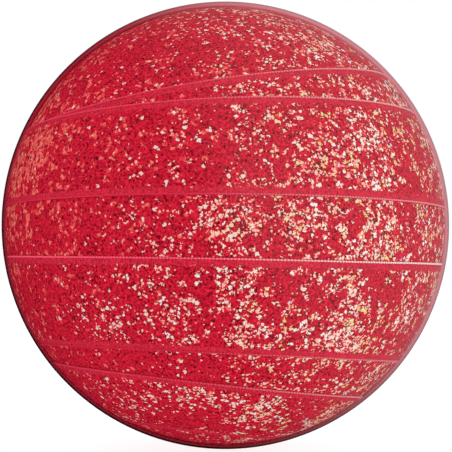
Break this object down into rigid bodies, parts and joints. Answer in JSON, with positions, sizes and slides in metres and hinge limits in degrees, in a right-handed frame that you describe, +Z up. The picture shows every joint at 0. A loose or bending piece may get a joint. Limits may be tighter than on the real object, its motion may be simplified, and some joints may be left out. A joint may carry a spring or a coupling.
{
  "type": "bowling ball",
  "caption": "Red bowling ball: foil-flecked ribbon wraps under a glossy clear cover, with weight block, finger inserts and a thumb unit that twists to lock and pulls out.",
  "frame": {"origin": "centre of the ball", "axes": "+Z up, -Y towards the face without holes that the picture shows, the drilled grip on the back left at -X +Y"},
  "size_m": [0.217, 0.217, 0.217],
  "materials": {
    "clear_resin": "gloss",
    "foil_ribbon": "satin",
    "shell_resin": "gloss",
    "filler": "matte",
    "dense_block": "matte",
    "dense_cap": "matte",
    "pin_resin": "gloss",
    "insert_vinyl": "matte",
    "sleeve_plastic": "satin",
    "ring_acetal": "satin",
    "slug_urethane": "gloss",
    "tape_fabric": "matte"
  },
  "bodies": {
    "ball": {"clear_cover": "clear_resin", "ribbon_crown": "foil_ribbon", "ribbon_upper": "foil_ribbon", "ribbon_front_top": "foil_ribbon", "ribbon_middle": "foil_ribbon", "ribbon_front_low": "foil_ribbon", "ribbon_lower": "foil_ribbon", "ribbon_foot": "foil_ribbon", "ribbon_base": "foil_ribbon", "cover_shell": "shell_resin", "outer_core": "filler", "weight_block": "dense_block", "weight_cap": "dense_cap", "locating_pin": "pin_resin", "finger_insert_middle": "insert_vinyl", "finger_insert_ring": "insert_vinyl", "thumb_outer_sleeve": "sleeve_plastic"},
    "thumb_lock": {"thumb_lock_ring": "ring_acetal"},
    "thumb_unit": {"thumb_inner_sleeve": "sleeve_plastic", "thumb_slug": "slug_urethane", "thumb_tape": "tape_fabric"}
  },
  "joints": [
    {"name": "thumb_twist", "type": "hinge", "parent": "ball", "child": "thumb_lock", "pos_m": [-0.02722, 0.02722, -0.01085], "axis": [-0.6806, 0.6806, -0.2713], "range_deg": [0, 60]},
    {"name": "thumb_pull", "type": "slide", "parent": "thumb_lock", "child": "thumb_unit", "axis": [-0.6806, 0.6806, -0.2713], "range_m": [0, 0.08]}
  ]
}
